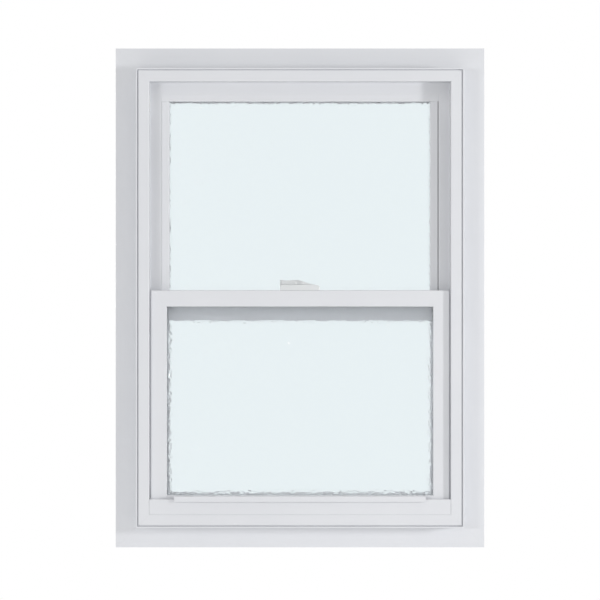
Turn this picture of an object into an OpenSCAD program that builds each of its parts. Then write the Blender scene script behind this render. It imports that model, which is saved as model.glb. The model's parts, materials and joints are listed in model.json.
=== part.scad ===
// Single-hung sash window with an obscure-glass fixed lite above a sliding sash.
// X runs across the window, Y from the room (-) to the outdoors (+), Z up.
// The origin is the middle of the frame's underside, halfway through its depth.

/* [Frame] */
// Width over the frame's sides, without the fin
frame_w = 749.3; // [620:0.1:1200]
// Height over the frame's head and sill, without the fin
frame_h = 1050; // [860:1:1500]
// Depth of the frame from its room face to its outdoor face
frame_d = 82.6; // [80:0.1:100]
// Width of the frame's room face, from the outside to the sash track
face_w = 30.5; // [28:0.5:36]
// Thickness of the frame's outer and inner walls
wall = 2.2; // [1.8:0.1:2.8]
// Depth from the room face to the parting wall behind the sash
track_d = 35; // [34:0.5:45]
// Distance from the frame's outside to the side of the glass rebate
rebate_u = 56; // [54:0.5:66]
// Distance from the frame's outside to the sight line of the fixed glass
sight_u = 72.3; // [70:0.1:84]
// Thickness of the outdoor leg that holds the fixed glass
leg_t = 7.6; // [6.5:0.1:10]
// Radius of the softened front edges of the frame
edge_r = 1.6; // [0.5:0.1:2]

/* [Fin] */
// Width of the mounting fin around the frame
fin_w = 50.8; // [25:0.1:60]
// Thickness of the mounting fin
fin_t = 2; // [1.5:0.1:3]
// Setback of the fin's room side from the outdoor face
fin_setback = 34.9; // [25:0.1:36]

/* [Accessory groove] */
// Width of the lip outside the groove around the room face
lip_w = 3; // [2:0.1:4]
// Width of the groove
groove_w = 3; // [2:0.1:4]
// Depth of the groove
groove_d = 6; // [4:0.5:8]

/* [Sash track] */
// Depth from the room face to the slot that the sash's tongues run in
slot_v = 13.5; // [12:0.5:15]
// Width of that slot
slot_w = 12; // [11:0.5:13]
// Height that the sill insert adds to the sill's room face
dam_h = 34.9; // [25:0.1:40]
// Thickness of the insert's upright dam
dam_t = 8; // [6:0.5:9]
// Thickness of the insert's foot under the sash
foot_t = 2.8; // [2:0.1:4]

/* [Fixed rail] */
// Height of the fixed meeting rail
meet_h = 68.3; // [55:0.1:80]
// Distance of the fixed rail's top below the sash's top
meet_drop = 1.5; // [1:0.5:6]

/* [Sash] */
// Height of the sliding sash
sash_h = 506.5; // [420:0.5:620]
// Height of the sash's underside above the sill insert's foot
sash_lift = 2.7; // [2:0.1:5]
// Gap between the sash and the frame at each side
sash_gap = 2.2; // [1.5:0.1:4]
// Setback of the sash's face from the frame's room face
sash_v = 9.5; // [9:0.5:11]
// Thickness of the sash
sash_t = 23.5; // [23.5:0.1:24]
// Width of the sash's face on all four sides
sash_face = 37.5; // [32:0.5:48]
// Width of the sash's hollow part, outside the glass rebate
sash_box = 24; // [20:0.5:28]
// Thickness of the sash's walls
sash_wall = 2; // [1.6:0.1:2.4]
// Radius of the sash's softened outer edges
sash_r = 2.5; // [0.5:0.1:3]
// Reach of the stiles' tongues into the frame's slots
tongue_w = 8; // [6:0.5:9]
// Thickness of the tongues
tongue_t = 9; // [8:0.5:10]

/* [Lift rail] */
// Width of the lift rail
lift_w = 574; // [300:1:600]
// Reach of the lift rail in front of the sash's face
lift_out = 15.5; // [13:0.5:20]
// Height of the lift rail's front lip
lift_lip_h = 13.3; // [10:0.1:20]
// Thickness of the lift rail
lift_t = 3; // [2.5:0.1:4]

/* [Glass] */
// Thickness of one pane
pane_t = 3; // [3:0.1:3.2]
// Gap between the two panes of a unit
cavity_t = 10; // [9:0.1:10]
// Thickness of the glazing tape on the fixed glass
tape_t = 1; // [0.6:0.1:1]
// Thickness of the glazing tape in the sash
sash_tape_t = 0.8; // [0.5:0.1:1]
// Width of the glazing tape
tape_w = 8; // [6:0.5:9]
// Gap between the edge of a glass unit and its rebate
glass_gap = 3; // [2:0.5:4]
// Width of the spacer bar between two panes
spacer_w = 7; // [5:0.5:8]
// Distance of the spacer bar from the panes' edges
spacer_in = 3; // [2:0.5:4]
// Length of a setting block under the glass
block_l = 80; // [40:1:100]
// Depth of the glass pocket on top of the fixed meeting rail
pocket_d = 12; // [10:0.5:14]

/* [Side stops] */
// Gap between the left stops and the frame
stop_gap_left = 0.3; // [0.2:0.1:1.6]
// Gap between the right stops and the frame
stop_gap_right = 1.6; // [0.2:0.1:1.6]
// Width of a side stop
stop_w = 17; // [14:0.1:17]
// Thickness of the stops' walls
stop_wall = 1.6; // [1.2:0.1:2]

/* [Balances] */
// Outer diameter of the balance tubes
tube_dia = 15; // [14:0.5:16]
// Wall thickness of the balance tubes
tube_wall = 0.8; // [0.6:0.1:1]
// Height that the twisted rod climbs in one turn
rod_lead = 225; // [150:5:300]
// Width of the twisted rod
rod_w = 6; // [5:0.5:7]
// Thickness of the twisted rod
rod_t = 1.6; // [1.2:0.1:2]
// Height of the shoe that carries the sash on the rod
shoe_h = 35; // [28:1:45]

/* [Lock] */
// Length of the lock's base along the rail
lock_w = 91; // [80:1:110]
// Depth of the lock's base
lock_d = 22; // [20:0.5:23]
// Height of the lock's base
lock_base_h = 13; // [12:0.5:16]
// Height of the lever above the base
lever_h = 10.5; // [8:0.5:12]
// Distance of the lever's pivot from the middle of the base
pivot_x = 12; // [8:0.5:16]
// Reach of the cam from the pivot
cam_r = 15; // [14:0.5:15.5]

/* [Hidden] */
$fn = 64;

// Clearances that more than one piece shares
fit = 0.2;        // between pieces that are pushed together
seat_gap = 0.3;   // between a seal and the face that it brushes
bore_gap = 0.2;   // around a screw in its hole, and a spring or nut in its tube
cut = 1;          // how far a cutter runs past the face that it opens

// Places across the window, from its middle
half_w = frame_w / 2;
track_x = half_w - face_w;
rebate_x = half_w - rebate_u;
sight_x = half_w - sight_u;
sash_x = track_x - sash_gap;
balance_x = half_w - face_w / 2;

// Depths, from the room face
fin_v = frame_d - fin_setback;
unit_t = 2 * pane_t + cavity_t;
leg_v = frame_d - leg_t;
glass_v = leg_v - tape_t - unit_t;
stop_back_v = glass_v - tape_t;
slot_mid_v = slot_v + slot_w / 2;
sash_back_v = sash_v + sash_t;
sash_lip_t = 3;
sash_glass_v = sash_v + sash_lip_t + sash_tape_t;
bead_v = sash_glass_v + unit_t + seat_gap;

// Heights, from the underside of the frame
foot_top = face_w + foot_t;
dam_top = face_w + dam_h;
sash_z = foot_top + sash_lift;
sash_top = sash_z + sash_h;
meet_top = sash_top - meet_drop;
meet_z = meet_top - meet_h;
apron_z = frame_h - sight_u;
pocket_z = meet_top - pocket_d;

// Balance, travel and stops. The sash stops before its lock reaches the head's apron
lock_top = sash_top + lock_base_h + lever_h;
tongue_z = sash_z + 4;
shoe_z = tongue_z;
shoe_top = shoe_z + shoe_h;
rod_seat_z = shoe_z + 12;
hanger_h = 16;
spigot_h = 15;
stop_block_h = 31;
nut_flange_t = 3;
nut_spigot_h = 8;
rod_above_nut = 5;
run_clear = 2;
stop_clear = 0.5;
head_clear = 5;
head_limit = apron_z - head_clear - lock_top;
spigot_over_sash = stop_clear + (stop_block_h - hanger_h) / 2 - spigot_h;
rod_over_shoe = 2 * run_clear + nut_flange_t + fit + nut_spigot_h + rod_above_nut;
balance_limit = sash_top + spigot_over_sash - shoe_top - rod_over_shoe;
sash_travel = min(head_limit, balance_limit);
stop_block_z = sash_top + sash_travel + stop_clear;
stop_screw_z = stop_block_z + stop_block_h / 2;
tube_top = stop_screw_z - hanger_h / 2;
nut_z = shoe_top + sash_travel + run_clear;
tube_z = nut_z + nut_flange_t + fit;
rod_top = tube_z + nut_spigot_h + rod_above_nut;
tube_r = tube_dia / 2;
tube_bore_r = tube_r - tube_wall;

// Screws
screw_r = 2;
screw_head_r = 3.8;
screw_head_t = 2.6;
install_hole_r = 2.6;
install_z = [160, 460];
meet_screw_z = [meet_z + 12, meet_z + 42];
meet_port_r = 4.5;
meet_screw_v = leg_v - meet_port_r;
access_r = 5.5;
weep_x = 200;
weep_w = 25;
weep_h = 4;

// Lock, seen from above: the pivot sits near the back of the base
lock_v = sash_v + 1;
pivot_v = lock_v + lock_d - 4;
lock_wall = 1.8;
cam_t = 5.5;
cam_z = sash_top + 2.5;
shaft_r = 4;
lever_hub_r = 15;
lock_slope_x = 10;
lock_slope_z = 4;
lock_screw_x = [-30, 37];
lock_boss_h = [lock_base_h - lock_wall, lock_base_h - lock_slope_z];
lock_boss_r = 4.5;
lock_seat_h = 8;
keeper_t = 1.8;
keeper_w = 38;
keeper_v = track_d + 0.6;
keeper_back_gap = 1.4;
keeper_d = stop_back_v - keeper_v - keeper_back_gap;
keeper_lip_d = 8;
keeper_screw_dx = 14;

vinyl = [0.93, 0.93, 0.93];
glass_tint = [0.86, 0.93, 0.95, 0.6];
rubber = [0.2, 0.2, 0.21];
steel = [0.72, 0.73, 0.75];
nylon = [0.85, 0.85, 0.83];
pile_grey = [0.45, 0.46, 0.48];

// ---- helpers ----------------------------------------------------------------------

// Draws with y as the depth from the room face
module from_room_face() {
    translate([0, -frame_d / 2, 0]) children();
}

// Draws the left side's piece, or its mirror image on the right
module at_side(side) {
    mirror([side > 0 ? 1 : 0, 0, 0]) children();
}

// A block given by its low corner and its high corner
module block(low, high) {
    translate(low) cube(high - low);
}

// A cylinder along +X
module rod_x(r, length) {
    rotate([0, 90, 0]) cylinder(r = r, h = length);
}

// What a round of radius r takes off a square corner at the origin, inside +X +Y
module corner_waste(r) {
    difference() {
        translate([-cut, -cut]) square(r + cut);
        translate([r, r]) circle(r);
    }
}

// The four-sided ring in XZ between two rectangles, extruded along Y
module ring(half_x, z0, z1, width, v, depth) {
    difference() {
        block([-half_x, v, z0], [half_x, v + depth, z1]);
        block([-half_x + width, v - cut, z0 + width],
              [half_x - width, v + depth + cut, z1 - width]);
    }
}

// ---- frame -------------------------------------------------------------------------

// Section of every frame member: x is the distance from the outside, y the depth
module frame_section() {
    difference() {
        union() {
            square([face_w, track_d + wall]);
            translate([0, track_d]) square([rebate_u, frame_d - track_d]);
            translate([rebate_u - wall, leg_v]) square([sight_u - rebate_u + wall, leg_t]);
            translate([-fin_w, fin_v]) square([fin_w + wall, fin_t]);
        }
        translate([lip_w, -cut]) square([groove_w, groove_d + cut]);
        // balance pocket and the slot that opens it to the track
        translate([wall, groove_d + wall]) square([face_w - 2 * wall, track_d - groove_d - wall]);
        translate([lip_w + groove_w + wall, wall])
            square([face_w - 2 * wall - lip_w - groove_w, track_d - wall]);
        translate([face_w - wall - cut, slot_v]) square([wall + 2 * cut, slot_w]);
        // hollows behind the parting wall, before and after the fin's web
        translate([wall, track_d + wall])
            square([rebate_u - 2 * wall, fin_v - track_d - wall]);
        translate([wall, fin_v + fin_t])
            square([rebate_u - 2 * wall, frame_d - wall - fin_v - fin_t]);
        translate([rebate_u, leg_v + wall]) square([sight_u - rebate_u - wall, leg_t - 2 * wall]);
        // softened edges
        corner_waste(0.6);
        translate([face_w, 0]) mirror([1, 0]) corner_waste(edge_r);
        translate([rebate_u, track_d]) mirror([1, 0]) corner_waste(0.6);
        translate([sight_u, leg_v]) mirror([1, 0]) corner_waste(0.8);
        translate([sight_u, frame_d]) mirror([1, 0]) mirror([0, 1]) corner_waste(0.8);
    }
}

// Room-side box that the head and the sill carry in front of the fixed glass
module apron_section() {
    difference() {
        translate([rebate_u, track_d]) square([sight_u - rebate_u, stop_back_v - track_d]);
        translate([rebate_u + wall, track_d + wall])
            square([sight_u - rebate_u - 2 * wall, stop_back_v - track_d - 2 * wall]);
        translate([sight_u, track_d]) mirror([1, 0]) corner_waste(0.8);
    }
}

// Region of one mitred member: the trapezoid next to the outer edge of that side
module mitre_region(length) {
    reach = fin_w + sight_u + 10;
    translate([0, frame_d + cut, 0]) rotate([90, 0, 0]) linear_extrude(frame_d + 2 * cut)
        polygon([[-fin_w, -fin_w], [-fin_w, length + fin_w],
                 [-fin_w + reach, length + fin_w - reach], [-fin_w + reach, -fin_w + reach]]);
}

// A member that stands along Z from 0 to length, with mitred ends past both
module frame_member(length) {
    intersection() {
        translate([0, 0, -fin_w]) linear_extrude(length + 2 * fin_w) frame_section();
        mitre_region(length);
    }
}

// Lays a member made along Z into the sill's place, its outside down
module lay_as_sill() {
    translate([half_w, 0, 0]) rotate([0, -90, 0]) children();
}

module jamb(side) {
    color(vinyl) from_room_face() at_side(side) translate([-half_w, 0, 0]) difference() {
        frame_member(frame_h);
        for (z = install_z)
            translate([-cut, slot_mid_v, z]) rod_x(install_hole_r, wall + 2 * cut);
        for (z = meet_screw_z) {
            translate([-cut, meet_screw_v, z]) rod_x(access_r, wall + 2 * cut);
            translate([rebate_u - wall - cut, meet_screw_v, z])
                rod_x(screw_r + bore_gap, wall + 2 * cut);
        }
        translate([-cut, slot_mid_v, stop_screw_z]) rod_x(screw_r + bore_gap, wall + 2 * cut);
    }
}

// The bar across the window that the head and the sill have in common, outside down
module cross_member() {
    lay_as_sill() frame_member(frame_w);
    lay_as_sill() translate([0, 0, rebate_u]) linear_extrude(frame_w - 2 * rebate_u)
        apron_section();
}

module frame_head() {
    color(vinyl) from_room_face() translate([0, 0, frame_h]) mirror([0, 0, 1]) cross_member();
}

module frame_sill() {
    color(vinyl) from_room_face() difference() {
        cross_member();
        for (side = [-1, 1])
            translate([side * weep_x - weep_w / 2, leg_v - cut, rebate_u + wall])
                cube([weep_w, leg_t + 2 * cut, weep_h]);
    }
}

// L-shaped keys inside the corners' outer hollows
module frame_corner_keys() {
    key_arm = 60;
    key_t = 12;
    key_v = [fin_v + fin_t, frame_d - wall];
    color(nylon) from_room_face() for (side = [-1, 1], top = [0, 1])
        at_side(side) translate([0, 0, top * frame_h]) mirror([0, 0, top]) union() {
            block([-half_w + wall, key_v[0], wall], [-half_w + wall + key_t, key_v[1], key_arm]);
            block([-half_w + wall, key_v[0], wall], [-half_w + key_arm, key_v[1], wall + key_t]);
        }
}

// Snap-in sill insert: the dam in front of the sash, the foot under it and its clip
module sill_insert() {
    clip_h = 6;
    insert_x = track_x - fit;
    color(vinyl) from_room_face() translate([insert_x, 0, 0]) rotate([0, -90, 0])
        linear_extrude(2 * insert_x) difference() {
            union() {
                translate([face_w, 0]) square([dam_h, dam_t]);
                translate([face_w, 0]) square([foot_t, track_d - seat_gap]);
                translate([face_w - clip_h, slot_v + fit])
                    square([clip_h + foot_t, slot_w - 2 * fit]);
            }
            translate([face_w + wall, wall]) square([dam_h - 2 * wall, dam_t - 2 * wall]);
            translate([face_w - clip_h - cut, slot_v + fit + wall])
                square([clip_h + cut, slot_w - 2 * (fit + wall)]);
            translate([dam_top, 0]) mirror([1, 0]) corner_waste(edge_r);
            translate([dam_top, dam_t]) mirror([1, 0]) mirror([0, 1]) corner_waste(1);
        }
}

// ---- fixed rail and fixed glass ----------------------------------------------------

module meeting_rail() {
    rail_x = rebate_x - fit;
    fascia_x = sight_x - fit;
    color(vinyl) from_room_face() difference() {
        union() {
            translate([rail_x, 0, 0]) rotate([0, -90, 0]) linear_extrude(2 * rail_x)
                difference() {
                    translate([meet_z, track_d]) square([meet_h, leg_v - track_d]);
                    translate([meet_z + wall, track_d + wall])
                        square([pocket_z - meet_z - 2 * wall, leg_v - track_d - 2 * wall]);
                    translate([pocket_z, stop_back_v])
                        square([pocket_d + cut, leg_v - stop_back_v + cut]);
                    translate([pocket_z, track_d + wall])
                        square([pocket_d - wall, stop_back_v - track_d - 2 * wall]);
                    translate([meet_z, track_d]) corner_waste(0.8);
                }
            translate([fascia_x, 0, 0]) rotate([0, -90, 0]) linear_extrude(2 * fascia_x)
                difference() {
                    translate([meet_z, leg_v - wall]) square([meet_h, leg_t + wall]);
                    translate([pocket_z, leg_v - wall - cut]) square([pocket_d + cut, wall + cut]);
                    translate([meet_z + wall, leg_v])
                        square([meet_h - 2 * wall, leg_t - wall]);
                }
            for (z = meet_screw_z) translate([-rail_x, meet_screw_v, z])
                rod_x(meet_port_r, 2 * rail_x);
        }
        for (z = meet_screw_z) translate([-rail_x - cut, meet_screw_v, z])
            rod_x(screw_r + bore_gap, 2 * (rail_x + cut));
        for (dx = [-1, 1]) translate([pivot_x + dx * keeper_screw_dx,
                                      keeper_v + keeper_d - 5, meet_top - 12])
            cylinder(r = 1.5 + bore_gap, h = 12 + cut);
    }
}

// A pan-head screw along +X with its head's underside at the origin
module screw_x(length, r = screw_r) {
    union() {
        rod_x(r, length);
        translate([-screw_head_t, 0, 0]) rod_x(screw_head_r, screw_head_t);
    }
}

module meeting_rail_screws() {
    color(steel) from_room_face() for (side = [-1, 1], z = meet_screw_z)
        at_side(side) translate([-rebate_x - wall, meet_screw_v, z]) screw_x(28);
}

// Hollow strip that covers the glass's side edge, from z0 to z1
module side_stop(side, z0, z1) {
    gap = side < 0 ? stop_gap_left : stop_gap_right;
    color(vinyl) from_room_face() at_side(side) translate([-rebate_x + gap, track_d, z0 + fit])
        linear_extrude(z1 - z0 - 2 * fit) difference() {
            square([stop_w, stop_back_v - track_d]);
            translate([stop_wall, stop_wall])
                square([stop_w - 2 * stop_wall, stop_back_v - track_d - 2 * stop_wall]);
            corner_waste(0.6);
            translate([stop_w, 0]) mirror([1, 0]) corner_waste(0.8);
        }
}

module side_stop_left() { side_stop(-1, meet_top, apron_z); }
module side_stop_right() { side_stop(1, meet_top, apron_z); }
module screen_track_left() { side_stop(-1, sight_u, meet_z); }
module screen_track_right() { side_stop(1, sight_u, meet_z); }

upper_x = rebate_x - glass_gap;
upper_z0 = pocket_z + glass_gap;
upper_z1 = frame_h - rebate_u - glass_gap;

module upper_pane(v) {
    color(glass_tint) from_room_face()
        block([-upper_x, v, upper_z0], [upper_x, v + pane_t, upper_z1]);
}

module upper_pane_inner() { upper_pane(glass_v); }
module upper_pane_outer() { upper_pane(glass_v + pane_t + cavity_t); }

module upper_spacer() {
    color(steel) from_room_face()
        ring(upper_x - spacer_in, upper_z0 + spacer_in, upper_z1 - spacer_in, spacer_w,
             glass_v + pane_t, cavity_t);
}

module upper_tape(v) {
    color(rubber) from_room_face()
        ring(upper_x - spacer_in, upper_z0, upper_z1 - spacer_in, tape_w, v, tape_t);
}

module upper_tape_inner() { upper_tape(stop_back_v); }
module upper_tape_outer() { upper_tape(leg_v - tape_t); }

// Two blocks that carry a glass unit, at a third of its width from each end
module setting_blocks(half_x, z, v) {
    color(rubber) from_room_face() for (side = [-1, 1])
        translate([side * half_x / 2 - block_l / 2, v, z]) cube([block_l, unit_t, glass_gap]);
}

module upper_setting_blocks() { setting_blocks(upper_x, pocket_z, glass_v); }

// ---- sash ---------------------------------------------------------------------------

// Section of every sash member: x is the distance from the sash's edge, y the depth
module sash_section() {
    difference() {
        union() {
            translate([0, sash_v]) square([sash_box, sash_t]);
            translate([sash_box - sash_wall, sash_v])
                square([sash_face - sash_box + sash_wall, sash_lip_t]);
        }
        translate([sash_wall, sash_v + sash_wall])
            square([sash_box - 2 * sash_wall, sash_t - 2 * sash_wall]);
        translate([0, sash_v]) corner_waste(sash_r);
        translate([0, sash_back_v]) mirror([0, 1]) corner_waste(1);
        translate([sash_face, sash_v]) mirror([1, 0]) corner_waste(1.2);
    }
}

// A sash member that stands along Z from 0 to length, with mitred ends
module sash_member(length) {
    reach = sash_face + 10;
    intersection() {
        linear_extrude(length) sash_section();
        translate([0, sash_back_v + cut, 0]) rotate([90, 0, 0]) linear_extrude(sash_t + 2 * cut)
            polygon([[0, 0], [0, length], [reach, length - reach], [reach, reach]]);
    }
}

module stile(side) {
    tongue_v = slot_mid_v - tongue_t / 2;
    color(vinyl) from_room_face() at_side(side) union() {
        translate([-sash_x, 0, sash_z]) sash_member(sash_h);
        block([-sash_x - tongue_w, tongue_v, tongue_z],
              [-sash_x, tongue_v + tongue_t, sash_top - sash_r]);
    }
}

module sash_rail() {
    translate([sash_x, 0, 0]) rotate([0, -90, 0]) sash_member(2 * sash_x);
}

module sash_top_rail() {
    color(vinyl) from_room_face() difference() {
        translate([0, 0, sash_top]) mirror([0, 0, 1]) sash_rail();
        for (x = lock_screw_x) translate([x, lock_v + lock_d / 2, sash_top - sash_wall - cut])
            cylinder(r = 1.5 + bore_gap, h = sash_wall + 2 * cut);
    }
}

module sash_bottom_rail() {
    color(vinyl) from_room_face() translate([0, 0, sash_z]) sash_rail();
}

// Finger lift: a web over the dam with a lip in front of it and a flange on the rail
module lift_rail() {
    lift_top = sash_z + sash_face - 0.5;
    front = sash_v - lift_out;
    color(vinyl) from_room_face() translate([lift_w / 2, 0, 0]) rotate([0, -90, 0])
        linear_extrude(lift_w) difference() {
            union() {
                translate([lift_top - lift_t, front]) square([lift_t, lift_out]);
                translate([lift_top - lift_lip_h, front]) square([lift_lip_h, lift_t]);
                translate([dam_top + 0.8, sash_v - 1.4])
                    square([lift_top - dam_top - 0.8, 1.4]);
            }
            translate([lift_top, front]) mirror([1, 0]) corner_waste(1.6);
            translate([lift_top - lift_lip_h, front]) corner_waste(1);
        }
}

lower_x = sash_x - sash_box - glass_gap;
lower_z0 = sash_z + sash_box + glass_gap;
lower_z1 = sash_top - sash_box - glass_gap;

module lower_pane(v) {
    color(glass_tint) from_room_face()
        block([-lower_x, v, lower_z0], [lower_x, v + pane_t, lower_z1]);
}

module lower_pane_inner() { lower_pane(sash_glass_v); }
module lower_pane_outer() { lower_pane(sash_glass_v + pane_t + cavity_t); }

module lower_spacer() {
    color(steel) from_room_face()
        ring(lower_x - spacer_in, lower_z0 + spacer_in, lower_z1 - spacer_in, spacer_w,
             sash_glass_v + pane_t, cavity_t);
}

module lower_tape() {
    color(rubber) from_room_face()
        ring(lower_x, lower_z0, lower_z1, tape_w, sash_v + sash_lip_t, sash_tape_t);
}

module lower_setting_blocks() { setting_blocks(lower_x, sash_z + sash_box, sash_glass_v); }

// Outdoor bead: the level ones run full width, and the upright ones stand between
bead_w = sash_face - sash_box;
bead_out = sash_x - sash_box;

module bead_upright(side) {
    z0 = sash_z + sash_face + fit;
    z1 = sash_top - sash_face - fit;
    color(vinyl) from_room_face() at_side(side)
        block([-bead_out, bead_v, z0], [-bead_out + bead_w, sash_back_v, z1]);
}

module bead_level(z) {
    color(vinyl) from_room_face()
        block([-bead_out, bead_v, z], [bead_out, sash_back_v, z + bead_w]);
}

module bead_left() { bead_upright(-1); }
module bead_right() { bead_upright(1); }
module bead_top() { bead_level(sash_top - sash_face); }
module bead_bottom() { bead_level(sash_z + sash_box); }

// Brush seals on the back of the sash
pile_w = 5;
pile_d = track_d - sash_back_v - seat_gap;

module pile_upright(side) {
    color(pile_grey) from_room_face() at_side(side)
        block([-sash_x + 8, sash_back_v, sash_z + 20],
              [-sash_x + 8 + pile_w, sash_back_v + pile_d, sash_top - 20]);
}

module pile_level(z) {
    color(pile_grey) from_room_face()
        block([-sash_x + 16, sash_back_v, z], [sash_x - 16, sash_back_v + pile_d, z + pile_w]);
}

module pile_left() { pile_upright(-1); }
module pile_right() { pile_upright(1); }
module pile_top() { pile_level(sash_top - 14); }
module pile_bottom() { pile_level(sash_z + 8); }

// Half-round bulb under the bottom rail
module bottom_bulb() {
    bulb_r = sash_lift - seat_gap;
    bulb_x = sash_x - 4;
    color(rubber) from_room_face() translate([-bulb_x, sash_v + sash_t / 2, sash_z])
        difference() {
            rod_x(bulb_r, 2 * bulb_x);
            translate([-cut, -bulb_r - cut, 0])
                cube([2 * (bulb_x + cut), 2 * (bulb_r + cut), bulb_r + cut]);
        }
}

// ---- lock ---------------------------------------------------------------------------

// Hollow housing, open at the back and below, with a sloping right-hand end
module lock_base() {
    x0 = -lock_w / 2;
    x1 = lock_w / 2;
    color(vinyl) from_room_face() translate([0, 0, sash_top]) difference() {
        union() {
            difference() {
                translate([0, lock_v + lock_d, 0]) rotate([90, 0, 0]) linear_extrude(lock_d)
                    polygon([[x0, 0], [x1, 0], [x1, lock_base_h - lock_slope_z],
                             [x1 - lock_slope_x, lock_base_h], [x0, lock_base_h]]);
                block([x0 + lock_wall, lock_v + lock_wall, -cut],
                      [x1 - lock_wall, lock_v + lock_d + cut,
                       lock_base_h - lock_slope_z - lock_wall]);
                block([x0 + lock_wall, lock_v + lock_wall, -cut],
                      [x1 - lock_slope_x - lock_wall, lock_v + lock_d + cut,
                       lock_base_h - lock_wall]);
            }
            for (i = [0, 1]) translate([lock_screw_x[i], lock_v + lock_d / 2, 0])
                cylinder(r = lock_boss_r, h = lock_boss_h[i]);
        }
        for (x = lock_screw_x) translate([x, lock_v + lock_d / 2, 0]) {
            translate([0, 0, -cut]) cylinder(r = 1.5 + bore_gap, h = lock_base_h + 2 * cut);
            translate([0, 0, lock_seat_h]) cylinder(r = 3 + bore_gap, h = lock_base_h);
        }
        translate([pivot_x, pivot_v, 0]) cylinder(r = shaft_r + bore_gap, h = lock_base_h + cut);
    }
}

// Round-nosed arm, domed hub and the shaft that turns the cam
module lock_lever() {
    arm_z = sash_top + lock_base_h + fit;
    arm_end = -lock_w / 2;
    arm_r = 6;
    lever_top = lever_h - fit;
    color(vinyl) from_room_face() union() {
        translate([pivot_x, pivot_v, arm_z]) {
            cylinder(r1 = lever_hub_r, r2 = lever_hub_r - 9, h = lever_top);
            translate([0, 0, cam_z - arm_z]) cylinder(r = shaft_r, h = arm_z - cam_z + cut);
        }
        translate([0, 0, arm_z]) linear_extrude(lever_top) union() {
            translate([arm_end + arm_r, pivot_v - arm_r])
                square([pivot_x - arm_end - arm_r, 2 * arm_r]);
            translate([arm_end + arm_r, pivot_v]) circle(arm_r);
        }
    }
}

// Half-disc that lies towards the room when open and hooks the keeper when turned
module lock_cam() {
    color(steel) from_room_face() translate([pivot_x, pivot_v, cam_z]) difference() {
        union() {
            difference() {
                cylinder(r = cam_r, h = cam_t);
                translate([-cam_r - cut, 0, -cut])
                    cube([2 * (cam_r + cut), cam_r + cut, cam_t + 2 * cut]);
            }
            cylinder(r = shaft_r + 1.4, h = cam_t);
        }
        translate([0, 0, -cut]) cylinder(r = shaft_r, h = cam_t + 2 * cut);
    }
}

// A countersunk wood screw pointing down, its head's top at the origin
module small_screw(length) {
    union() {
        translate([0, 0, -length]) cylinder(r = 1.5, h = length);
        translate([0, 0, -1.8]) cylinder(r = 3, h = 1.8);
    }
}

module lock_screws() {
    color(steel) from_room_face() for (x = lock_screw_x)
        translate([x, lock_v + lock_d / 2, sash_top + lock_seat_h + 1.8]) small_screw(20);
}

// Plate on the fixed rail with a raised lip that the cam runs under
module keeper() {
    lip_z = cam_z + cam_t + 0.8 - meet_top;
    color(steel) from_room_face() translate([pivot_x, keeper_v, meet_top]) difference() {
        union() {
            block([-keeper_w / 2, 0, 0], [keeper_w / 2, keeper_d, keeper_t]);
            block([-keeper_w / 2, 0, lip_z], [keeper_w / 2, keeper_lip_d, lip_z + keeper_t]);
            for (side = [-1, 1])
                translate([side * (keeper_w / 2 - keeper_t / 2) - keeper_t / 2, 0, 0])
                    cube([keeper_t, keeper_lip_d, lip_z + keeper_t]);
        }
        for (side = [-1, 1]) translate([side * keeper_screw_dx, keeper_d - 5, -cut])
            cylinder(r = 1.5 + bore_gap, h = keeper_t + 2 * cut);
    }
}

module keeper_screws() {
    color(steel) from_room_face() for (side = [-1, 1])
        translate([pivot_x + side * keeper_screw_dx, keeper_v + keeper_d - 5,
                   meet_top + keeper_t + 1.8]) small_screw(12);
}

// ---- balances and travel stops -----------------------------------------------------

// Block in the slot that the tongue meets when the sash is fully open
module travel_stop(side) {
    reach = 6.6;
    color(nylon) from_room_face() at_side(side) difference() {
        block([-track_x - reach, slot_v + fit, stop_block_z],
              [-track_x, slot_v + slot_w - fit, stop_block_z + stop_block_h]);
        translate([-track_x - reach - cut, slot_mid_v, stop_screw_z])
            rod_x(screw_r + bore_gap, reach + 2 * cut);
        translate([-track_x - screw_head_t - fit, slot_mid_v, stop_screw_z])
            rod_x(screw_head_r + bore_gap, reach);
    }
}

module travel_stop_left() { travel_stop(-1); }
module travel_stop_right() { travel_stop(1); }

module travel_stop_screws() {
    color(steel) from_room_face() for (side = [-1, 1])
        at_side(side) translate([-track_x - screw_head_t - fit, slot_mid_v, stop_screw_z])
            mirror([1, 0, 0]) screw_x(half_w - track_x - screw_head_t);
}

// Puts a round balance piece on the balance's axis, on one side
module at_balance(side, z) {
    from_room_face() translate([side * balance_x, slot_mid_v, z]) children();
}

module balance_tube(side) {
    color(steel) at_balance(side, tube_z) difference() {
        cylinder(r = tube_r, h = tube_top - tube_z);
        translate([0, 0, -cut]) cylinder(r = tube_bore_r, h = tube_top - tube_z + 2 * cut);
    }
}

module balance_hanger(side) {
    color(nylon) at_balance(side, tube_top) difference() {
        union() {
            cylinder(r = tube_r, h = hanger_h);
            translate([0, 0, -spigot_h]) cylinder(r = tube_bore_r - bore_gap, h = spigot_h);
        }
        translate([-tube_r - cut, 0, hanger_h / 2])
            rod_x(screw_r + bore_gap, 2 * (tube_r + cut));
    }
}

// Close-wound torsion spring, as its outer and inner cylinder
module balance_spring(side) {
    spring_z = tube_z + nut_spigot_h + seat_gap;
    spring_top = tube_top - spigot_h;
    spring_r = tube_bore_r - 2 * bore_gap;
    color(steel) at_balance(side, spring_z) difference() {
        cylinder(r = spring_r, h = spring_top - spring_z);
        translate([0, 0, -cut]) cylinder(r = spring_r - 1.8, h = spring_top - spring_z + 2 * cut);
    }
}

// Slotted nut that the rod turns as it passes
rod_turn = 360 / rod_lead;

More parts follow.
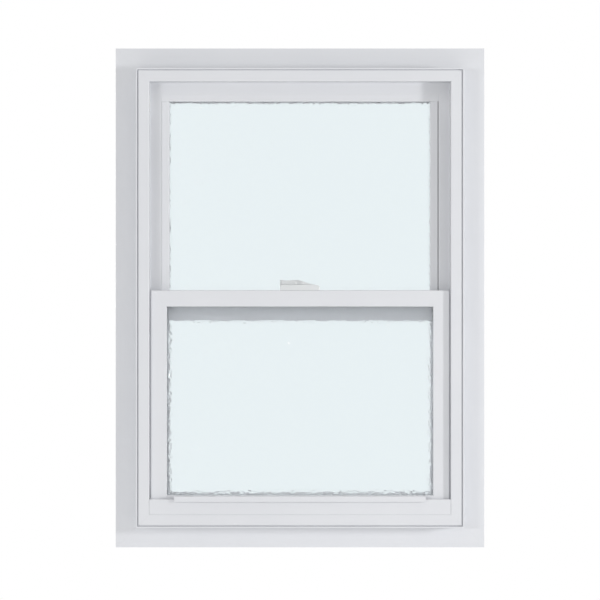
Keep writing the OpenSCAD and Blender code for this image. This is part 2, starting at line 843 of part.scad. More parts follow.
module balance_nut(side) {
    color(nylon) at_balance(side, nut_z) difference() {
        union() {
            cylinder(r = tube_r, h = nut_flange_t);
            cylinder(r = tube_bore_r - bore_gap, h = nut_flange_t + fit + nut_spigot_h);
        }
        rotate([0, 0, -rod_turn * (nut_z + nut_flange_t / 2 - rod_seat_z)])
            translate([-rod_w / 2 - 0.4, -rod_t / 2 - 0.4, -cut])
                cube([rod_w + 0.8, rod_t + 0.8, nut_flange_t + 2 * cut]);
        translate([0, 0, nut_flange_t])
            cylinder(r = rod_w / 2 + 1, h = fit + nut_spigot_h + cut);
    }
}

module balance_rod(side) {
    rod_l = rod_top - rod_seat_z;
    color(steel) at_balance(side, rod_seat_z)
        linear_extrude(rod_l, twist = rod_turn * rod_l, slices = ceil(rod_l / 6), segments = 4)
            square([rod_w, rod_t], center = true);
}

// Nylon block on the tongue's foot that the rod stands in
module balance_shoe(side) {
    shoe_out = half_w - 4;
    color(nylon) from_room_face() at_side(side) difference() {
        block([-shoe_out, slot_v - 2, shoe_z],
              [-sash_x - tongue_w, slot_v + slot_w + 2, shoe_top]);
        translate([-balance_x, slot_mid_v, rod_seat_z])
            cylinder(r = rod_w / 2 + 0.5, h = shoe_top - rod_seat_z + cut);
    }
}

module frame_jamb_left() { jamb(-1); }
module frame_jamb_right() { jamb(1); }
module sash_stile_left() { stile(-1); }
module sash_stile_right() { stile(1); }
module balance_tube_left() { balance_tube(-1); }
module balance_tube_right() { balance_tube(1); }
module balance_hanger_left() { balance_hanger(-1); }
module balance_hanger_right() { balance_hanger(1); }
module balance_spring_left() { balance_spring(-1); }
module balance_spring_right() { balance_spring(1); }
module balance_nut_left() { balance_nut(-1); }
module balance_nut_right() { balance_nut(1); }
module balance_rod_left() { balance_rod(-1); }
module balance_rod_right() { balance_rod(1); }
module balance_shoe_left() { balance_shoe(-1); }
module balance_shoe_right() { balance_shoe(1); }

frame_head();
frame_sill();
frame_jamb_left();
frame_jamb_right();
frame_corner_keys();
sill_insert();
meeting_rail();
meeting_rail_screws();
side_stop_left();
side_stop_right();
screen_track_left();
screen_track_right();
upper_pane_inner();
upper_pane_outer();
upper_spacer();
upper_tape_inner();
upper_tape_outer();
upper_setting_blocks();
sash_top_rail();
sash_bottom_rail();
sash_stile_left();
sash_stile_right();
lift_rail();
lower_pane_inner();
lower_pane_outer();
lower_spacer();
lower_tape();
lower_setting_blocks();
bead_left();
bead_right();
bead_top();
bead_bottom();
pile_left();
pile_right();
pile_top();
pile_bottom();
bottom_bulb();
lock_base();
lock_lever();
lock_cam();
lock_screws();
keeper();
keeper_screws();
travel_stop_left();
travel_stop_right();
travel_stop_screws();
balance_tube_left();
balance_tube_right();
balance_hanger_left();
balance_hanger_right();
balance_spring_left();
balance_spring_right();
balance_nut_left();
balance_nut_right();
balance_rod_left();
balance_rod_right();
balance_shoe_left();
balance_shoe_right();
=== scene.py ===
"""The looks of a single-hung sash window with obscure glass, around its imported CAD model.

Lengths are in metres, in the model's own frame: X runs across the window, Y from the room
to the outdoors and Z up.
"""

import itertools
import json
import math

import bmesh
import bpy
import numpy as np
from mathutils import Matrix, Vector

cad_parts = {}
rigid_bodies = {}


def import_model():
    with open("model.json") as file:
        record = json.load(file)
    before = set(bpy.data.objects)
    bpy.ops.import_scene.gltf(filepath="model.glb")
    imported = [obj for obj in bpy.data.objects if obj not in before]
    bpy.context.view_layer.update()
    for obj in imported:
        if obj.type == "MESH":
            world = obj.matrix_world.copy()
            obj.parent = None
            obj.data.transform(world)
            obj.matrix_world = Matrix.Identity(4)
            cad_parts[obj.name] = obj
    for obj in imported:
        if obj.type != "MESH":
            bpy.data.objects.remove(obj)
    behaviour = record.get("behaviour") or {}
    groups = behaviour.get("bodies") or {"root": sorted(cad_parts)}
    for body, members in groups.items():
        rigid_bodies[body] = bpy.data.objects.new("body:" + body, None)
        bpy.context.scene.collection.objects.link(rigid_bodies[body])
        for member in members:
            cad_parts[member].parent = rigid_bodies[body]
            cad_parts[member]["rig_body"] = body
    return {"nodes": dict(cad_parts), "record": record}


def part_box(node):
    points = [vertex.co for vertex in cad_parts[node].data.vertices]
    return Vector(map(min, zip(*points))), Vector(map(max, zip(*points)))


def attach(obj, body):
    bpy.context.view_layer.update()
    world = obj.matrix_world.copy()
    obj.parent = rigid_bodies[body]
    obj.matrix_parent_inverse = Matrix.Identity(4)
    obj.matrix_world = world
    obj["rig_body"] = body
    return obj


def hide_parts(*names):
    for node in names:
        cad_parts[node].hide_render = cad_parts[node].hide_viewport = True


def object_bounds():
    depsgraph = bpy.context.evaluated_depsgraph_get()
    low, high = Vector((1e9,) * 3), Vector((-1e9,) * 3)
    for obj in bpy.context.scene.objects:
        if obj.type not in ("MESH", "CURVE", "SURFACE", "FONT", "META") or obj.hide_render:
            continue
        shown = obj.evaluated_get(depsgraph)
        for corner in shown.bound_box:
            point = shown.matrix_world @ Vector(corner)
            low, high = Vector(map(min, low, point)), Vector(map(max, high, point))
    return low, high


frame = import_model()
cad_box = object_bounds()
nodes = frame["nodes"]
MM = 0.001
SAME_POINT = 0.001 * MM


# ---- node trees ---------------------------------------------------------------------


class Tree:
    """A material's node tree, with short calls for the nodes that the finishes share."""

    def __init__(self, name):
        self.material = bpy.data.materials.new(name)
        self.material.use_nodes = True
        self.nodes = self.material.node_tree.nodes
        self.links = self.material.node_tree.links
        self.shader = self.nodes["Principled BSDF"]

    def add(self, kind, **settings):
        node = self.nodes.new(kind)
        for key, value in settings.items():
            setattr(node, key, value)
        return node

    def set(self, **values):
        """Sets the shader's own sockets, such as Roughness=0.4 or Coat_Weight=0.1."""
        for key, value in values.items():
            self.shader.inputs[key.replace("_", " ")].default_value = value

    def place(self, stretch=(1, 1, 1)):
        """Object coordinates in metres, multiplied by stretch along each axis."""
        coordinates = self.add("ShaderNodeTexCoord")
        mapping = self.add("ShaderNodeMapping")
        mapping.inputs["Scale"].default_value = stretch
        self.links.new(coordinates.outputs["Object"], mapping.inputs["Vector"])
        return mapping.outputs["Vector"]

    def noise(self, scale, stretch=(1, 1, 1), detail=3.0):
        """Noise of scale cells to the metre."""
        node = self.add("ShaderNodeTexNoise")
        node.inputs["Scale"].default_value = scale
        node.inputs["Detail"].default_value = detail
        self.links.new(self.place(stretch), node.inputs["Vector"])
        return node.outputs["Fac"]

    def cells(self, scale, stretch=(1, 1, 1)):
        """The distance to the nearest cell's point, of scale cells to the metre."""
        node = self.add("ShaderNodeTexVoronoi")
        node.inputs["Scale"].default_value = scale
        self.links.new(self.place(stretch), node.inputs["Vector"])
        return node.outputs["Distance"]

    def span(self, value, low, high, start=0.3, end=0.7):
        """Maps value from start..end to low..high."""
        node = self.add("ShaderNodeMapRange")
        for key, number in (("From Min", start), ("From Max", end),
                            ("To Min", low), ("To Max", high)):
            node.inputs[key].default_value = number
        self.links.new(value, node.inputs["Value"])
        return node.outputs["Result"]

    def blend(self, value, first, second):
        """A colour between first and second, as value goes from 0 to 1."""
        node = self.add("ShaderNodeMix", data_type="RGBA")
        node.inputs["A"].default_value = (*first, 1)
        node.inputs["B"].default_value = (*second, 1)
        self.links.new(value, node.inputs["Factor"])
        return node.outputs["Result"]

    def sum(self, first, second, share=0.5):
        """first, with this share of second mixed in."""
        node = self.add("ShaderNodeMix", data_type="FLOAT")
        node.inputs["Factor"].default_value = share
        self.links.new(first, node.inputs["A"])
        self.links.new(second, node.inputs["B"])
        return node.outputs["Result"]

    def colour(self, output):
        self.links.new(output, self.shader.inputs["Base Color"])

    def roughness(self, output):
        self.links.new(output, self.shader.inputs["Roughness"])

    def relief(self, height, distance, strength=1.0):
        """A bump that stands distance metres high where the texture height is 1."""
        node = self.add("ShaderNodeBump")
        node.inputs["Strength"].default_value = strength
        node.inputs["Distance"].default_value = distance
        self.links.new(height, node.inputs["Height"])
        self.links.new(node.outputs["Normal"], self.shader.inputs["Normal"])


# ---- finishes -----------------------------------------------------------------------

VINYL = (0.80, 0.812, 0.84)
VINYL_SHADE = (0.775, 0.787, 0.818)
ALONG_X = (0.02, 1, 1)
ALONG_Z = (1, 1, 0.02)


def vinyl(name, along):
    """Satin extruded vinyl: faint die lines along the profile over a very fine grain."""
    tree = Tree(name)
    lines = tree.noise(420, along, detail=4)
    cloud = tree.noise(7, detail=2)
    tree.colour(tree.blend(tree.span(tree.sum(cloud, lines, 0.3), 0, 1), VINYL_SHADE, VINYL))
    tree.roughness(tree.span(lines, 0.36, 0.46))
    tree.relief(tree.sum(lines, tree.noise(2600), 0.35), 0.03 * MM)
    tree.set(IOR=1.5, Coat_Weight=0.08, Coat_Roughness=0.25)
    return tree.material


def glass(name, grain):
    """Pale glass. grain is the height of its fine surface texture."""
    tree = Tree(name)
    tree.set(Base_Color=(0.965, 0.98, 0.985, 1), Transmission_Weight=1.0, IOR=1.52,
             Roughness=0.0)
    if grain:
        tree.relief(tree.noise(240, detail=1), grain)
    return tree.material


def rubber(name, colour):
    tree = Tree(name)
    grain = tree.noise(900)
    lighter = tuple(1.5 * c for c in colour)
    tree.colour(tree.blend(tree.span(grain, 0, 1), colour, lighter))
    tree.roughness(tree.span(grain, 0.6, 0.8))
    tree.relief(grain, 0.05 * MM)
    return tree.material


def metal(name, colour, along, rough):
    """Plated or galvanised metal with fine drawing marks along the piece."""
    tree = Tree(name)
    marks = tree.noise(900, along)
    patches = tree.cells(130)
    dull = tuple(0.86 * c for c in colour)
    tree.colour(tree.blend(tree.span(tree.sum(marks, patches, 0.4), 0, 1), dull, colour))
    tree.roughness(tree.span(marks, rough - 0.06, rough + 0.1))
    tree.relief(marks, 0.02 * MM)
    tree.set(Metallic=1.0)
    return tree.material


def spacer_metal(name):
    """Mill-finish aluminium with small dark breathing holes."""
    tree = Tree(name)
    holes = tree.cells(330, (1, 0.6, 1))
    inside = tree.span(holes, 1, 0, 0.12, 0.2)
    tree.colour(tree.blend(inside, (0.62, 0.64, 0.66), (0.2, 0.2, 0.21)))
    tree.roughness(tree.span(tree.noise(500), 0.3, 0.42))
    tree.relief(holes, 0.2 * MM, strength=0.5)
    tree.set(Metallic=1.0)
    return tree.material


def nylon(name):
    tree = Tree(name)
    mottle = tree.noise(90)
    tree.colour(tree.blend(tree.span(mottle, 0, 1), (0.66, 0.66, 0.63), (0.74, 0.74, 0.71)))
    tree.roughness(tree.span(mottle, 0.42, 0.55))
    tree.relief(tree.noise(1500), 0.04 * MM)
    tree.set(Subsurface_Weight=0.08, Subsurface_Scale=4 * MM)
    return tree.material


def powder_coat(name):
    """White powder coat on the lock's castings, with its slight orange peel."""
    tree = Tree(name)
    peel = tree.noise(650, detail=2)
    tree.colour(tree.blend(tree.span(peel, 0, 1), (0.765, 0.785, 0.79), (0.79, 0.81, 0.82)))
    tree.roughness(tree.span(peel, 0.25, 0.36))
    tree.relief(peel, 0.03 * MM)
    tree.set(Coat_Weight=0.25, Coat_Roughness=0.15)
    return tree.material


def fibre(name):
    tree = Tree(name)
    strands = tree.noise(1800, (1, 0.05, 1))
    tree.colour(tree.blend(tree.span(strands, 0, 1), (0.16, 0.165, 0.175), (0.34, 0.35, 0.37)))
    tree.set(Roughness=0.9, Sheen_Weight=0.4, Sheen_Roughness=0.5)
    tree.relief(strands, 0.2 * MM)
    return tree.material


FINISH = {
    "vinyl_level": vinyl("vinyl_level", ALONG_X),
    "vinyl_upright": vinyl("vinyl_upright", ALONG_Z),
    "glass_clear": glass("glass_clear", 0),
    "glass_obscure": glass("glass_obscure", 0.8 * MM),
    "seal_rubber": rubber("seal_rubber_looks", (0.045, 0.045, 0.05)),
    "screw_steel": metal("screw_steel_looks", (0.66, 0.67, 0.69), (1, 1, 1), 0.3),
    "lock_metal": metal("lock_metal_looks", (0.6, 0.61, 0.62), (0.1, 1, 1), 0.34),
    "balance_steel": metal("balance_steel_looks", (0.58, 0.59, 0.61), ALONG_Z, 0.36),
    "spacer_bar": spacer_metal("spacer_bar_looks"),
    "nylon": nylon("nylon_looks"),
    "lock_paint": powder_coat("lock_paint_looks"),
    "pile": fibre("pile_looks"),
}


def finish_of(node_name, slot):
    """The finish of a CAD node: vinyl follows the way that the profile was extruded."""
    if slot in ("frame_white", "sash_white"):
        low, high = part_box(node_name)
        upright = high.z - low.z > high.x - low.x
        return FINISH["vinyl_upright" if upright else "vinyl_level"]
    return FINISH["glass_clear"] if slot == "obscure_glass" else FINISH[slot]


# ---- CAD nodes that stay ------------------------------------------------------------

EDGE = 0.2 * MM


def soften(piece):
    """Rounds the piece's sharp edges a little and keeps its flat faces flat."""
    piece.modifiers.new("weld", "WELD").merge_threshold = SAME_POINT
    bevel = piece.modifiers.new("bevel", "BEVEL")
    bevel.width = EDGE
    bevel.segments = 2
    bevel.limit_method = "ANGLE"
    bevel.angle_limit = math.radians(35)
    bevel.use_clamp_overlap = False
    bevel.loop_slide = False
    piece.modifiers.new("normals", "WEIGHTED_NORMAL").keep_sharp = False


def finish_cad_nodes():
    for subpart in frame["record"]["subparts"]:
        name, slot = subpart["node"], subpart["material_slot"]
        piece = nodes[name]
        for place in piece.material_slots:
            place.material = finish_of(name, slot)
        soften(piece)


# ---- building new pieces ------------------------------------------------------------


def body_of(node_name):
    return nodes[node_name]["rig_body"]


def stand_in(name, mesh, material, node_name):
    """Puts mesh in place of the CAD node, on the same body, with the given material."""
    piece = bpy.data.objects.new(name, mesh)
    bpy.context.scene.collection.objects.link(piece)
    mesh.materials.append(material)
    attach(piece, body_of(node_name))
    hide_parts(node_name)


def mesh_from(name, points, faces, smooth=True):
    mesh = bpy.data.meshes.new(name)
    mesh.from_pydata([tuple(p) for p in points], [], [tuple(f) for f in faces])
    mesh.polygons.foreach_set("use_smooth", [smooth] * len(mesh.polygons))
    mesh.update()
    return mesh


def grid_faces(rows, columns, closed=False, offset=0):
    """Quads between neighbouring rows of points. closed joins the last column to the first."""
    i, j = np.meshgrid(np.arange(rows - 1), np.arange(columns if closed else columns - 1),
                       indexing="ij")
    k = (j + 1) % columns
    quads = np.stack([i * columns + j, i * columns + k, (i + 1) * columns + k,
                      (i + 1) * columns + j], axis=-1)
    return quads.reshape(-1, 4) + offset


def ring_solid(rings):
    """Points and faces of rows of rings, closed at both ends."""
    rows, columns = rings.shape[:2]
    quads = grid_faces(rows, columns, closed=True)
    first, last = np.arange(columns), np.arange(columns) + (rows - 1) * columns
    return rings.reshape(-1, 3), [*quads.tolist(), first[::-1].tolist(), last.tolist()]


def joined(parts):
    """One list of points and faces from several."""
    points, faces, count = [], [], 0
    for part_points, part_faces in parts:
        points.append(np.asarray(part_points))
        faces += [[i + count for i in face] for face in part_faces]
        count += len(part_points)
    return np.concatenate(points), faces


def turn_outwards(mesh):
    """Makes all face normals point out of the mesh."""
    shape = bmesh.new()
    shape.from_mesh(mesh)
    bmesh.ops.recalc_face_normals(shape, faces=shape.faces)
    shape.to_mesh(mesh)
    shape.free()


# ---- obscure glass ------------------------------------------------------------------

GLASS_STEP = 1.8 * MM
# Spacing and depth of the two sizes of hammer mark.
FINE_MARKS = (5.4 * MM, 1.25 * MM)
WIDE_MARKS = (9 * MM, 0.45 * MM)
DEEPEST_MARK = 1.7 * MM
# About the most that overlapping marks of height 1 add up to.
MARK_PEAK = 1.6
WEAKEST_MARK = 0.45
# Shares of the spacing.
MARK_WIDTH = 0.36
MARK_JITTER = 0.42
# Lattice steps: how far a mark reaches, and how far the lattice goes past the pane.
MARK_REACH = 2
MARGIN = 3


def bumps(x, z, spacing, seed):
    """Rounded hammer marks, one near each point of a jittered lattice: 0 to about MARK_PEAK."""
    rng = np.random.RandomState(seed)
    start_x, start_z = (math.floor(v.min() / spacing) - MARGIN for v in (x, z))
    count = tuple(int((v.max() - v.min()) / spacing) + 2 * MARGIN + 2 for v in (x, z))
    jitter = rng.uniform(-MARK_JITTER, MARK_JITTER, (*count, 2))
    weight = rng.uniform(WEAKEST_MARK, 1.0, count)
    width = MARK_WIDTH * spacing
    cell_x = np.floor(x / spacing).astype(int) - start_x
    cell_z = np.floor(z / spacing).astype(int) - start_z
    steps = range(-MARK_REACH, MARK_REACH + 1)
    total = np.zeros_like(x)
    for i, j in itertools.product(steps, steps):
        a, b = cell_x + i, cell_z + j
        mark_x = (a + start_x + 0.5 + jitter[a, b, 0]) * spacing
        mark_z = (b + start_z + 0.5 + jitter[a, b, 1]) * spacing
        away = (x - mark_x) ** 2 + (z - mark_z) ** 2
        total += weight[a, b] * np.exp(-away / (2 * width ** 2))
    return total


def obscure_pane(name, node_name, seed):
    """A pane with a hammered room face, a flat cavity face and ground edges."""
    low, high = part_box(node_name)
    columns = round((high.x - low.x) / GLASS_STEP) + 1
    rows = round((high.z - low.z) / GLASS_STEP) + 1
    x, z = np.meshgrid(np.linspace(low.x, high.x, columns), np.linspace(low.z, high.z, rows))
    depth = np.zeros_like(x)
    for layer, (spacing, deep) in enumerate((FINE_MARKS, WIDE_MARKS)):
        depth += deep * (1 - bumps(x, z, spacing, seed + layer) / MARK_PEAK)
    depth = np.clip(depth, 0, DEEPEST_MARK)
    front = np.stack([x, low.y + depth, z], axis=-1).reshape(-1, 3)
    index = np.arange(rows * columns).reshape(rows, columns)
    rim = np.concatenate([index[0, :-1], index[:-1, -1], index[-1, :0:-1], index[:0:-1, 0]])
    back = front[rim] * (1, 0, 1) + (0, high.y, 0)
    middle = [((low.x + high.x) / 2, high.y, (low.z + high.z) / 2)]
    ahead = np.roll(np.arange(len(rim)), -1)
    first = len(front)
    walls = np.stack([rim[ahead], rim, first + np.arange(len(rim)), first + ahead], axis=-1)
    fan = [(first + a, first + b, first + len(rim)) for a, b in zip(ahead, range(len(rim)))]
    quads = grid_faces(rows, columns)
    mesh = mesh_from(name, np.concatenate([front, back, middle]),
                     [*quads.tolist(), *walls.tolist(), *fan])
    smooth = [True] * len(quads) + [False] * (len(walls) + len(fan))
    mesh.polygons.foreach_set("use_smooth", smooth)
    stand_in(name, mesh, FINISH["glass_obscure"], node_name)


# ---- screws -------------------------------------------------------------------------

AROUND = 32
THREAD_PITCH = 1.4 * MM
STEPS_PER_THREAD = 6
PLAIN_NECK = 1.5 * MM
THINNEST_HEAD = 0.5 * MM
# Shares of the shank's radius.
THREAD_DEPTH = 0.24
TIP_LENGTH = 2.2
TIP_TAPER = 0.85
# Shares of the head's thickness.
CROWN_RISE = 0.12
RECESS_DEPTH = 0.6
# Shares of the head's radius, from the recess's foot to its top.
RECESS_HALF_WIDTH = (0.1, 0.22)
RECESS_ARM = (0.45, 0.62)


def solids(node_name):
    """The points of each separate solid of a CAD node, as arrays."""
    shape = bmesh.new()
    shape.from_mesh(nodes[node_name].data)
    bmesh.ops.remove_doubles(shape, verts=shape.verts, dist=SAME_POINT)
    shape.verts.ensure_lookup_table()
    found, seen = [], set()
    for start in shape.verts:
        if start in seen:
            continue
        group, queue = [], [start]
        seen.add(start)
        while queue:
            point = queue.pop()
            group.append(tuple(point.co))
            for link in point.link_edges:
                other = link.other_vert(point)
                if other not in seen:
                    seen.add(other)
                    queue.append(other)
        found.append(np.array(group))
    shape.free()
    return found


def smooth_step(value, start, end):
    """Rises from 0 at start to 1 at end."""
    t = np.clip((value - start) / (end - start), 0, 1)
    return t * t * (3 - 2 * t)


def screw_points(head_r, shank_r, head_t, length):
    """A cross-recessed screw along +X from its head's top at 0, as rows of rings."""
    turn = np.linspace(0, 2 * np.pi, AROUND, endpoint=False)
    crown = np.linspace(0.02, 0.94, 14)
    x = [CROWN_RISE * head_t * c ** 2 for c in crown]
    r = [head_r * c for c in crown]
    # The head's rounded rim, its underside and the plain neck.
    x += [0.2 * head_t, 0.34 * head_t, 0.45 * head_t, head_t, head_t]
    r += [0.985 * head_r, head_r, head_r, 1.1 * shank_r, shank_r]
    plain = head_t + PLAIN_NECK
    x.append(plain)
    r.append(shank_r)
    along = np.arange(plain, length - 0.05 * MM, THREAD_PITCH / STEPS_PER_THREAD)
    x, r = np.append(x, along), np.append(r, np.full(len(along), shank_r))
    x, turn = np.meshgrid(x, turn, indexing="ij")
    r = np.repeat(r[:, None], AROUND, axis=1)
    phase = (x / THREAD_PITCH - turn / (2 * np.pi)) % 1
    groove = THREAD_DEPTH * shank_r * (1 - np.abs(2 * phase - 1) ** 0.7)
    taper = 1 - TIP_TAPER * smooth_step(x, length - TIP_LENGTH * shank_r, length)
    r = np.where(x > plain, (r - groove) * taper, r)
    y, z = r * np.cos(turn), r * np.sin(turn)
    near_axis = np.minimum(np.abs(y), np.abs(z))
    cross = 1 - smooth_step(near_axis / head_r, *RECESS_HALF_WIDTH)
    cross *= 1 - smooth_step(r / head_r, *RECESS_ARM)
    on_crown = np.arange(len(x))[:, None] < len(crown)
    x = np.where(on_crown, x + RECESS_DEPTH * head_t * cross, x)
    return np.stack([x, y, z], axis=-1)


def screws(name, node_name):
    """Threaded screws with cross recesses, one in place of each plain CAD screw."""
    parts = []
    for solid in solids(node_name):
        low, high = solid.min(axis=0), solid.max(axis=0)
        axis = int(np.argmax(high - low))
        middle = (low + high) / 2
        off_axis = np.delete(solid - middle, axis, axis=1)
        radius = np.hypot(*off_axis.T)
        in_head = solid[radius > 0.9 * radius.max(), axis]
        ahead = in_head.mean() < middle[axis]
        head_t = max(in_head.max() - in_head.min(), THINNEST_HEAD)
        far = high[axis] if ahead else low[axis]
        shank_r = radius[np.abs(solid[:, axis] - far) < 0.1 * MM].max()
        rings = screw_points(radius.max(), shank_r, head_t, high[axis] - low[axis])
        if not ahead:
            rings = rings * (-1, 1, 1)
            rings = rings[:, ::-1]
        rings = np.roll(rings, axis, axis=-1)
        origin = middle.copy()
        origin[axis] = low[axis] if ahead else high[axis]
        parts.append(ring_solid(rings + origin))
    mesh = mesh_from(name, *joined(parts))
    mesh.set_sharp_from_angle(angle=math.radians(50))
    stand_in(name, mesh, FINISH["screw_steel"], node_name)


# ---- balance springs ----------------------------------------------------------------

WIRE_R = 0.8 * MM
WIRE_SIDES = 6
COIL_PITCH = 2.2 * MM
STEPS_PER_TURN = 14


def spring(name, node_name):
    """A wound wire in place of the plain sleeve."""
    low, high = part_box(node_name)
    coil_r = (high.x - low.x) / 2 - WIRE_R
    height = high.z - low.z - 2 * WIRE_R
    turns = height / COIL_PITCH
    turn = np.linspace(0, 2 * np.pi * turns, int(turns * STEPS_PER_TURN))[:, None]
    around = np.linspace(0, 2 * np.pi, WIRE_SIDES, endpoint=False)[None, :]
    r = coil_r + WIRE_R * np.cos(around)
    x = (low.x + high.x) / 2 + r * np.cos(turn)
    y = (low.y + high.y) / 2 + r * np.sin(turn)
    z = low.z + WIRE_R + height * turn / turn[-1] + WIRE_R * np.sin(around)
    mesh = mesh_from(name, *ring_solid(np.stack([x, y, z], axis=-1)[:, ::-1]))
    stand_in(name, mesh, FINISH["balance_steel"], node_name)


# ---- seals --------------------------------------------------------------------------

BACKING = 0.35 * MM
BACKING_EDGE = 0.15 * MM
BACKING_STEP = 4 * MM
FIBRE_R = 0.32 * MM
FIBRE_STEP = 0.9 * MM
FIBRE_ROWS = 4
FIBRE_SHIFT = 0.2 * MM
FIBRE_LEAN = 0.4 * MM
SHORTEST_FIBRE = 0.82
END_MARGIN = 0.6 * MM
SIDE_MARGIN = 1.0 * MM


def brush(name, node_name, seed):
    """A pile weatherstrip: a woven backing and rows of fibres that point outdoors."""
    low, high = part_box(node_name)
    rng = np.random.RandomState(seed)
    across, tall = high.x - low.x, high.z - low.z
    upright = tall > across
    length, width = (tall, across) if upright else (across, tall)
    back, edge = BACKING, BACKING_EDGE
    section = np.array([(edge, 0), (width - edge, 0), (width, edge), (width, back - edge),
                        (width - edge, back), (edge, back), (0, back - edge), (0, edge)])
    along = np.linspace(0, length, round(length / BACKING_STEP))
    rings = np.stack([np.repeat(along[:, None], len(section), axis=1),
                      np.repeat(section[None, :, 1], len(along), axis=0),
                      np.repeat(section[None, :, 0], len(along), axis=0)], axis=-1)
    u, v = np.meshgrid(np.arange(END_MARGIN, length - END_MARGIN, FIBRE_STEP),
                       np.linspace(SIDE_MARGIN, width - SIDE_MARGIN, FIBRE_ROWS), indexing="ij")
    u, v = u.ravel(), v.ravel()
    u += rng.uniform(-1, 1, len(u)) * FIBRE_SHIFT
    v += rng.uniform(-1, 1, len(v)) * FIBRE_SHIFT
    reach = (high.y - low.y) * rng.uniform(SHORTEST_FIBRE, 1, len(u))
    lean = rng.uniform(-1, 1, (2, len(u))) * FIBRE_LEAN
    foot = [(u + FIBRE_R * math.cos(a), np.full(len(u), back - edge), v + FIBRE_R * math.sin(a))
            for a in (0, 2 * math.pi / 3, 4 * math.pi / 3)]
    tip = (np.clip(u + lean[0], 0, length), reach, np.clip(v + lean[1], 0, width))
    fibres = np.stack([np.stack(corner, axis=-1) for corner in (*foot, tip)], axis=1)
    first = 4 * np.arange(len(u))[:, None, None]
    sides = np.array([(0, 1, 3), (1, 2, 3), (2, 0, 3), (2, 1, 0)])
    tufts = (fibres.reshape(-1, 3), (first + sides).reshape(-1, 3).tolist())
    points, faces = joined([ring_solid(rings), tufts])
    if upright:
        points = points[:, ::-1]
    else:
        faces = [face[::-1] for face in faces]
    mesh = mesh_from(name, points + tuple(low), faces, smooth=False)
    turn_outwards(mesh)
    stand_in(name, mesh, FINISH["pile"], node_name)


BULB_SIDES = 40
BULB_RINGS = 60
# The part of the bulb's height above its widest line.
BULB_ROOT = 0.25
# The hole's width and height, and the lips' height, beside the bulb's own.
HOLLOW = (0.72, 0.62)
LIP_HEIGHT = 0.16
# Angles in radians: from the crown to each lip, and a lip's half width.
LIP_ANGLE = 0.5
LIP_WIDTH = 0.12


def bulb_seal(name, node_name):
    """A hollow rubber bulb with two small lips along its crown."""
    low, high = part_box(node_name)
    wide, deep = (high.y - low.y) / 2, high.z - low.z
    turn = np.linspace(0, 2 * np.pi, BULB_SIDES, endpoint=False)
    lips = np.exp(-((np.abs(turn - 1.5 * np.pi) - LIP_ANGLE) / LIP_WIDTH) ** 2)
    reach = 1 - LIP_HEIGHT + LIP_HEIGHT * lips
    squash = np.where(np.sin(turn) > 0, BULB_ROOT, 1 - BULB_ROOT) * deep
    outer = np.stack([wide * np.sign(np.cos(turn)) * np.abs(np.cos(turn)) ** 0.8,
                      squash * np.sin(turn) * np.where(np.sin(turn) > 0, 1, reach)], axis=-1)
    inner = outer * HOLLOW
    along = np.linspace(low.x, high.x, BULB_RINGS)
    centre = ((low.y + high.y) / 2, high.z - BULB_ROOT * deep)
    skins = []
    for outline in (outer, inner[::-1]):
        x = np.repeat(along[:, None], len(turn), axis=1)
        yz = np.repeat((outline + centre)[None], len(along), axis=0)
        skins.append(np.concatenate([x[..., None], yz], axis=-1))
    count = skins[0].shape[0] * len(turn)
    faces = [*grid_faces(len(along), len(turn), True).tolist(),
             *grid_faces(len(along), len(turn), True, count).tolist()]
    ahead = np.roll(np.arange(len(turn)), -1)
    for row in (0, len(along) - 1):
        a = row * len(turn) + np.arange(len(turn))
        b = count + row * len(turn) + np.arange(len(turn))[::-1]
        ends = np.stack([a, a[ahead], b[ahead], b], axis=-1)
        faces += ends.tolist()
    mesh = mesh_from(name, np.concatenate([skin.reshape(-1, 3) for skin in skins]), faces)
    turn_outwards(mesh)
    mesh.set_sharp_from_angle(angle=math.radians(60))
    stand_in(name, mesh, FINISH["seal_rubber"], node_name)


# ---- lock ---------------------------------------------------------------------------

CORNER_R = 3.0 * MM
RIM_R = 1.0 * MM
RIM_FROM = 5 * MM
TOUCH = 0.01 * MM


def near_outline(edge, low, high):
    """True where the edge's middle is close to the base's front or one of its ends."""
    middle = (edge.verts[0].co + edge.verts[1].co) / 2
    return min(middle.x - low.x, high.x - middle.x, middle.y - low.y) < CORNER_R / 2


def rounded_base(name, node_name):
    """The lock's base with its outer corners and top edges rounded as on a casting."""
    low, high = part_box(node_name)
    shape = bmesh.new()
    shape.from_mesh(nodes[node_name].data)
    bmesh.ops.remove_doubles(shape, verts=shape.verts, dist=SAME_POINT)
    bmesh.ops.dissolve_limit(shape, angle_limit=math.radians(1), verts=shape.verts,
                             edges=shape.edges)
    sides = [(0, low.x), (0, high.x), (1, low.y)]

    def on_sides(point):
        return sum(abs(point[axis] - wall) < TOUCH for axis, wall in sides)

    corners = [e for e in shape.edges
               if all(on_sides(v.co) == 2 for v in e.verts)
               and abs(e.verts[0].co.z - e.verts[1].co.z) > MM]
    bmesh.ops.bevel(shape, geom=corners, offset=CORNER_R, segments=8, profile=0.5,
                    affect="EDGES", clamp_overlap=True)
    # Convex edges between an upright face and a face that looks up, round the outside.
    rim = [e for e in shape.edges if len(e.link_faces) == 2
           and all(v.co.z > low.z + RIM_FROM for v in e.verts)
           and e.is_convex and e.calc_face_angle(0) > math.radians(50)
           and min(f.normal.z for f in e.link_faces) < 0.1
           and max(f.normal.z for f in e.link_faces) > 0.5
           and near_outline(e, low, high)]
    bmesh.ops.bevel(shape, geom=rim, offset=RIM_R, segments=3, profile=0.5,
                    affect="EDGES", clamp_overlap=True)
    mesh = bpy.data.meshes.new(name)
    shape.to_mesh(mesh)
    shape.free()
    mesh.materials.clear()
    mesh.polygons.foreach_set("use_smooth", [True] * len(mesh.polygons))
    mesh.set_sharp_from_angle(angle=math.radians(35))
    stand_in(name, mesh, FINISH["lock_paint"], node_name)


